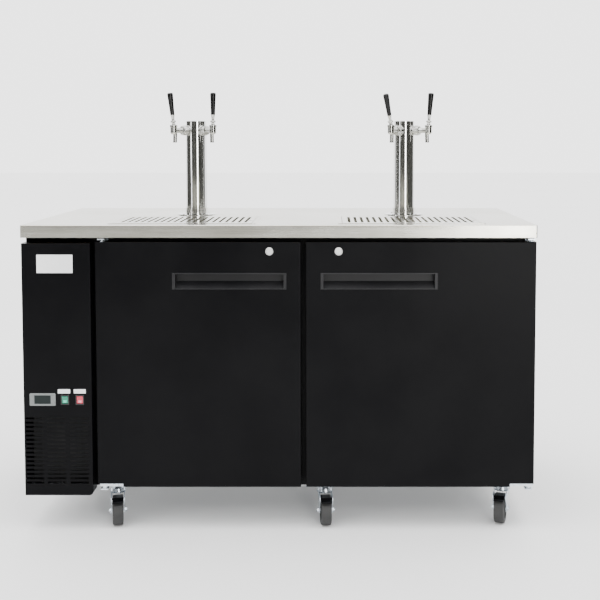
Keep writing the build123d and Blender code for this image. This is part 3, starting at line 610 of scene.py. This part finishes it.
def makeNut(tap):
    low, high, wide, lobes = tapSetup["nut"]
    rings = [(low, wide - 0.0015), (low + 0.001, wide), (low + 0.005, wide)]
    rings += [(high - 0.005, wide), (high - 0.001, wide), (high, wide - 0.0015)]
    nut = turnPiece("couplingNut_" + tap, rings, lobes * 4)
    middle = (low + high) / 2
    pickFaces(nut, lambda face: abs(face.center.z - middle) < 0.001 and abs(face.normal.z) < 0.3)
    bpy.ops.object.mode_set(mode="OBJECT")
    band = [face for face in nut.data.polygons if face.select]
    for face in band:
        turn = round((Vector(face.center.xy).angle_signed(Vector((1, 0))) / pi * lobes * 2) - 0.5)
        face.select = turn % 4 == 0
    bpy.ops.object.mode_set(mode="EDIT")
    bpy.ops.mesh.inset(thickness=0.0004, depth=0.0013, use_individual=True)
    bpy.ops.object.mode_set(mode="OBJECT")
    return nut


def makeTaps():
    for tap in tapNames:
        pivot, outward, lean = tapLine(tap)
        upward = Vector((0, 0, 1)) * cos(radians(lean)) + outward * sin(radians(lean))
        node = "tap_handle_" + tap[4:]
        lever = setDown(makeTapLever(tap), pivot, upward)
        finishPiece(lever, tap, "polished_steel", "faucet_chrome", hides=[node])
        finishPiece(setDown(makeTapGrip(tap), pivot, upward), tap, "tap_grip", hides=[node])
        shankStart = pivot - outward * tapSetup["reach"] - Vector((0, 0, tapSetup["pivotRise"]))
        nut = setDown(makeNut(tap), shankStart, outward)
        finishPiece(nut, "cabinet", "polished_steel", "faucet_chrome")
        low, high, wide = tapSetup["washer"]
        rings = [(low, wide), (high - 0.001, wide), (high, wide - 0.001)]
        washer = turnPiece("shankWasher_" + tap, rings, 32)
        setDown(washer, shankStart, outward)
        finishPiece(washer, "cabinet", "polished_steel", "faucet_chrome")
        out, drop, wide = tapSetup["spoutTip"]
        bore = wide - 0.0015
        outline = [(0, wide), (0.0022, wide), (0.0022, bore), (-0.0004, bore), (-0.0004, wide - 0.0003)]
        tip = turnRing("spoutTip_" + tap, outline, 28)
        place = shankStart + outward * out + Vector((0, 0, drop))
        finishPiece(setDown(tip, place, (0, 0, 1)), "cabinet", "switch_black", "socket_black")


makeTaps()
print("taps ready")


towerSetup = {"screwRing": 0.054, "screwRadius": 0.0042, "screwHeight": 0.0026, "setScrewRise": 0.015}


def towerPlaces():
    places = []
    for opening in frame["record"]["physics"]["openings"]:
        if opening["name"].startswith("beer_line_way"):
            low, high = opening["box_m"]
            places.append(((low[0] + high[0]) / 2, (low[1] + high[1]) / 2))
    return places


def makeTowerScrews():
    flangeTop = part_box("tower_bases")[0][2] + 0.003
    pattern = crossScrew("flangeScrew", towerSetup["screwRadius"], towerSetup["screwHeight"])
    ring = [(cos(pi / 4 + step * pi / 2), sin(pi / 4 + step * pi / 2)) for step in range(4)]
    reach = towerSetup["screwRing"]
    places = [(x + reach * c, y + reach * s, flangeTop) for x, y in towerPlaces() for c, s in ring]
    scatter(pattern, places, (0, 0, 1), "cabinet", "polished_steel")
    bpy.data.objects.remove(pattern, do_unlink=True)


makeTowerScrews()
print("tower screws ready")


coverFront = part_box("front_cover")[0][1]
badgeSetup = {"x": (-0.727, -0.619), "z": (0.790, 0.845), "thick": 0.0012, "border": 0.0022}
labelSetup = {"x": ((-0.669, -0.632), (-0.621, -0.585)), "z": (0.4235, 0.4365), "thick": 0.0005}


# blank plate with a rounded outline and a thin raised rim
def makePlate(name, spanX, spanZ, thick, border=None):
    corner = (spanX[0], coverFront - thick, spanZ[0])
    plate = startBlock(name, corner, (spanX[1], coverFront - 0.00005, spanZ[1]))
    if border:
        pickFaces(plate, lambda face: face.normal.y < -0.9)
        bpy.ops.mesh.inset(thickness=border, depth=0)
        bpy.ops.mesh.inset(thickness=0.0003, depth=-0.0004)
        bpy.ops.object.mode_set(mode="OBJECT")
    softenEdges(plate, thick * 0.3)
    finishPiece(plate, "cabinet", "controller", "badge_white")


makePlate("badgePlate", badgeSetup["x"], badgeSetup["z"], badgeSetup["thick"], badgeSetup["border"])
for number, spanX in enumerate(labelSetup["x"]):
    makePlate(f"switchLabel_{number + 1}", spanX, labelSetup["z"], labelSetup["thick"])

controlSetup = {
    "window": (0.0145, 0.0060),
    "button": (0.0042, 0.0070),
    "buttonRows": (0.008, -0.008),
    "lens": (0.0052, 0.0088),
}


def makeController():
    low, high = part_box("thermostat")
    front = low[1]
    sideBand, edge = controlSetup["window"]
    window = startBlock(
        "controllerWindow",
        (low[0] + sideBand, front - 0.0006, low[2] + edge),
        (high[0] - sideBand, front + 0.0006, high[2] - edge),
    )
    pickFaces(window, lambda face: face.normal.y < -0.9)
    bpy.ops.mesh.inset(thickness=0.0012, depth=-0.0003)
    bpy.ops.object.mode_set(mode="OBJECT")
    softenEdges(window, 0.0003)
    finishPiece(window, "cabinet", "switch_black", "screen_dark")
    middleZ = (low[2] + high[2]) / 2
    wide, tall = controlSetup["button"]
    columns = (low[0] + sideBand / 2, high[0] - sideBand / 2)
    spots = [(x, rise) for x in columns for rise in controlSetup["buttonRows"]]
    for number, (x, rise) in enumerate(spots):
        z = middleZ + rise
        button = startBlock(
            f"controllerButton_{number + 1}",
            (x - wide, front - 0.0009, z - tall / 2),
            (x + wide, front + 0.0004, z + tall / 2),
        )
        softenEdges(button, 0.0008, 3)
        finishPiece(button, "cabinet", "controller")


def makeLenses():
    for colour in ("green", "red"):
        low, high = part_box("rocker_" + colour)
        wide, tall = controlSetup["lens"]
        x = (low[0] + high[0]) / 2
        z = (low[2] + high[2]) / 2
        lens = startBlock(
            f"rockerLens_{colour}",
            (x - wide, low[1] + 0.0017, z - tall),
            (x + wide, low[1] + 0.0032, z - 0.001),
        )
        softenEdges(lens, 0.0005, 2)
        finishPiece(lens, "rocker_" + colour, "rocker_" + colour, "lens_" + colour)


makeController()
makeLenses()
print("controls ready")


lockSetup = {
    "outline": ((-0.0002, 0.0118), (0.0012, 0.0118), (0.0026, 0.0104), (0.0026, 0.0091), (-0.0002, 0.0091)),
}
hingeSetup = {"screwSteps": (0.026, 0.046), "screwRadius": 0.0026, "screwHeight": 0.0012}


def makeDoorTrim():
    screw = crossScrew("hingeScrew", hingeSetup["screwRadius"], hingeSetup["screwHeight"])
    for side, out in (("left", -1), ("right", 1)):
        door = "door_" + side
        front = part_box(door + "_skin")[0][1]
        lock = jointsByName[f"lock_{side}_turn"]["pos_m"]
        bezel = turnRing("lockBezel_" + side, list(lockSetup["outline"]), 36)
        setDown(bezel, (lock[0], front, lock[2]), (0, -1, 0))
        finishPiece(bezel, door, "polished_steel", "lock_chrome")
        axisX = jointsByName[door + "_swing"]["pos_m"][0]
        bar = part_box(door + "_hinges")
        places = [(axisX - out * step, bar[0][1], 0.1415) for step in hingeSetup["screwSteps"]]
        scatter(screw, places, (0, -1, 0), door, "zinc_plate")
    bpy.data.objects.remove(screw, do_unlink=True)


makeDoorTrim()
print("door trim ready")


casterSetup = {"boltSpread": 0.024, "bolt": ((0, 0.0062), (0.0034, 0.0062), (0.0042, 0.0052)), "ribs": 6}


def makeCasterTrim():
    bolt = turnPiece("plateBolt", list(casterSetup["bolt"]), 6)
    ribReach = (0.0125, 0.0315)
    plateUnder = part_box("caster_plates")[1][2] - 0.0035
    for name, joint in jointsByName.items():
        if not name.startswith("caster_"):
            continue
        corner = name[7:-7]
        x, y = joint["pos_m"][:2]
        spread = casterSetup["boltSpread"]
        places = [(x + a * spread, y + b * spread, plateUnder) for a in (-1, 1) for b in (-1, 1)]
        for number, place in enumerate(places):
            twin = copyPiece(bolt, f"plateBolt_{corner}_{number + 1}")
            finishPiece(setDown(twin, place, (0, 0, -1)), "cabinet", "zinc_plate")
        roll = jointsByName[f"wheel_{corner}_roll"]
        centre, across = Vector(roll["pos_m"]), Vector(roll["axis"])
        # raised ribs in the recess at both sides of the wheel
        for number in range(casterSetup["ribs"] * 2):
            side = 1 if number % 2 else -1
            ribName = f"wheelRib_{corner}_{number + 1}"
            rib = startBlock(ribName, (ribReach[0], -0.0016, 0.0095), (ribReach[1], 0.0016, 0.0148))
            softenEdges(rib, 0.0006)
            setDown(rib, centre, across * side, spin=number // 2 * 360 / casterSetup["ribs"])
            finishPiece(rib, "wheel_" + corner, "wheel")
    bpy.data.objects.remove(bolt, do_unlink=True)


makeCasterTrim()
print("caster trim ready")


stageLook = {"floor": (0.9, 0.9, 0.9), "room": (1.0, 1.0, 1.0), "roomStrength": 3.2}
cardColours = {"dark": (0.035, 0.035, 0.03), "olive": (0.29, 0.285, 0.24)}
# low corner, high corner and colour of each upright card that the metal and the paint reflect
cards = {
    "frontCard": ((-6.0, -6.2, 0.12), (6.0, -6.15, 3.6), "dark"),
    "lowCard": ((-6.0, -6.1, 0.12), (6.0, -6.08, 0.75), "olive"),
    "leftCard": ((-5.6, -6.0, 0.12), (-5.55, 3.0, 3.0), "dark"),
    "rightCard": ((5.55, -6.0, 0.12), (5.6, 3.0, 3.0), "dark"),
}


def addStage():
    clearSelection()
    bpy.ops.mesh.primitive_plane_add(size=60, location=(0, 0, 0))
    floor = bpy.context.object
    floor.name = "studioFloor"
    floorLook, tree, shader, mapping = startMaterial("studioFloorPaper", {"Roughness": 0.9})
    cloud = placeGroup(tree, smudgeGroup, mapping.outputs["Vector"], Scale=0.7)
    shade = [value * 0.985 for value in stageLook["floor"]]
    paper = mixColour(tree, cloud.outputs["Cloud"], stageLook["floor"], shade)
    tree.links.new(paper, shader.inputs["Base Color"])
    floor.data.materials.append(floorLook)
    cardLooks = {}
    for colourName, colour in cardColours.items():
        look, tree, shader, mapping = startMaterial("studioCard_" + colourName, {"Roughness": 0.9})
        cloud = placeGroup(tree, smudgeGroup, mapping.outputs["Vector"], Scale=0.5)
        dim = [value * 0.8 for value in colour]
        tree.links.new(mixColour(tree, cloud.outputs["Cloud"], colour, dim), shader.inputs["Base Color"])
        cardLooks[colourName] = look
    for name, (low, high, colourName) in cards.items():
        card = startBlock(name, low, high)
        card.data.materials.append(cardLooks[colourName])
        card.visible_camera = False
    world = bpy.data.worlds.new("studioRoom")
    world.use_nodes = True
    world.node_tree.nodes["Background"].inputs["Color"].default_value = (*stageLook["room"], 1.0)
    world.node_tree.nodes["Background"].inputs["Strength"].default_value = stageLook["roomStrength"]
    bpy.context.scene.world = world


# place, aim, width and height, power in watts, colour
softboxes = {
    "overheadBox": ((0.0, -0.8, 3.8), (0, 0, 0.9), (3.6, 2.4), 90, (1.0, 1.0, 1.0)),
    "rightBox": ((1.75, -5.2, 1.25), (0.6, 0, 0.8), (0.9, 2.4), 110, (1.0, 0.99, 0.96)),
    "leftBox": ((-4.2, -3.4, 1.4), (-0.3, 0, 0.9), (0.7, 2.6), 28, (0.98, 0.99, 1.0)),
}


def addSoftboxes():
    for name, (place, aim, size, power, colour) in softboxes.items():
        light = bpy.data.lights.new(name, "AREA")
        light.shape = "RECTANGLE"
        light.size, light.size_y = size
        light.energy = power
        light.color = colour
        holder = bpy.data.objects.new(name, light)
        bpy.context.scene.collection.objects.link(holder)
        holder.location = place
        holder.rotation_euler = (Vector(aim) - Vector(place)).to_track_quat("-Z", "Y").to_euler()
        holder.visible_camera = False


cameraSetup = {"place": (0.1593, -3.1521, 1.1916), "tilt": 3.227, "lens": 56.47, "shift": (-0.0533, -0.18)}


def addCamera():
    lens = bpy.data.cameras.new("studioCamera")
    holder = bpy.data.objects.new("studioCamera", lens)
    bpy.context.scene.collection.objects.link(holder)
    holder.location = cameraSetup["place"]
    holder.rotation_euler = (radians(90 - cameraSetup["tilt"]), 0, 0)
    lens.lens = cameraSetup["lens"]
    lens.sensor_width = 36
    lens.shift_x, lens.shift_y = cameraSetup["shift"]
    bpy.context.scene.camera = holder


addStage()
addSoftboxes()
addCamera()
print("stage, light and camera ready")
